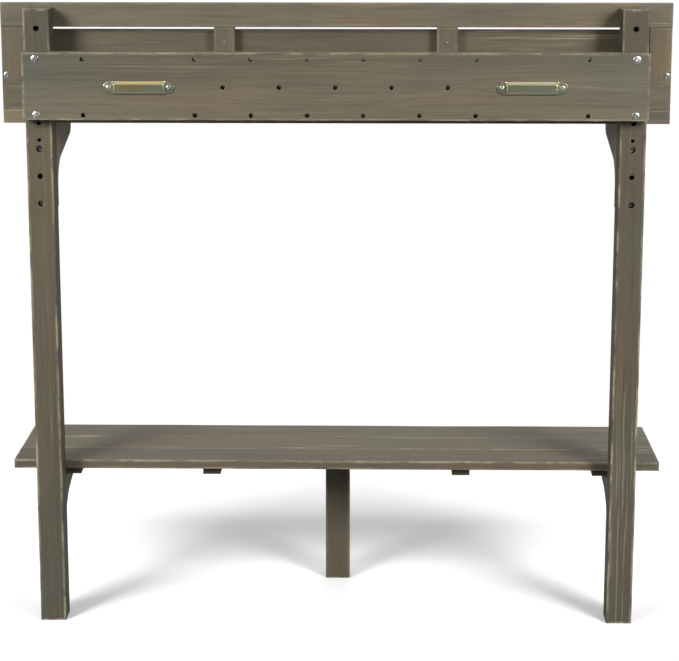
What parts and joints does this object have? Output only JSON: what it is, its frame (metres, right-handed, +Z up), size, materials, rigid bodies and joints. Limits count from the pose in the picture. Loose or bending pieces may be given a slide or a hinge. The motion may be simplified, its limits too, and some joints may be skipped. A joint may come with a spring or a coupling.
{
  "type": "potting bench",
  "caption": "Stained timber potting bench on two posts and a rear leg, with a drilled hook board, two strap handles, a narrow framed worktop and a low slatted shelf.",
  "frame": {"origin": "centre of the bench's footprint, on the floor", "axes": "+X along the worktop to the right, +Y back from the hook board towards the rear of the worktop, +Z up"},
  "size_m": [0.973, 0.2606, 0.9275],
  "materials": {
    "post_wood": "grey-brown stain, brushed thin so that the grain shows, worn pale on the edges",
    "board_wood": "grey-brown weathered stain with tan and green-grey bands along the grain",
    "frame_wood": "grey-brown weathered stain, pale where the edges have rubbed",
    "shelf_wood": "grey-brown weathered stain with pale streaks beside the joints",
    "bracket_wood": "darker grey-brown stain, rough sawn on the inner faces",
    "zinc_strap": "yellow zinc plate with a satin face and bright edges",
    "screw_metal": "bright zinc plate, cross recess",
    "dowel_wood": "plain beech, hidden in the joints"
  },
  "bodies": {
    "root": {"left_post": "post_wood", "right_post": "post_wood", "rear_leg": "post_wood", "hook_board": "board_wood", "worktop_front_board": "board_wood", "worktop_middle_board": "board_wood", "worktop_rear_board": "board_wood", "frame_top_rail": "frame_wood", "frame_bottom_rail": "frame_wood", "frame_left_stile": "frame_wood", "frame_right_stile": "frame_wood", "frame_left_divider": "frame_wood", "frame_right_divider": "frame_wood", "backing_board": "frame_wood", "left_end_panel": "frame_wood", "right_end_panel": "frame_wood", "left_worktop_bracket": "bracket_wood", "right_worktop_bracket": "bracket_wood", "left_shelf_bracket": "bracket_wood", "right_shelf_bracket": "bracket_wood", "shelf_front_board": "shelf_wood", "shelf_middle_board": "shelf_wood", "shelf_rear_board": "shelf_wood", "shelf_left_end_batten": "bracket_wood", "shelf_left_batten": "bracket_wood", "shelf_right_batten": "bracket_wood", "shelf_right_end_batten": "bracket_wood", "left_handle": "zinc_strap", "right_handle": "zinc_strap", "handle_screws": "screw_metal", "hook_board_screws": "screw_metal", "worktop_edge_screws": "screw_metal", "post_bracket_screws": "screw_metal", "worktop_bracket_screws": "screw_metal", "stile_screws": "screw_metal", "divider_screws": "screw_metal", "backing_board_screws": "screw_metal", "frame_post_screws": "screw_metal", "frame_base_screws": "screw_metal", "end_panel_screws": "screw_metal", "shelf_batten_screws": "screw_metal", "shelf_bracket_screws": "screw_metal", "shelf_bracket_dowels": "dowel_wood", "rear_leg_dowels": "dowel_wood", "worktop_dowels": "dowel_wood", "frame_dowels": "dowel_wood"}
  },
  "joints": []
}
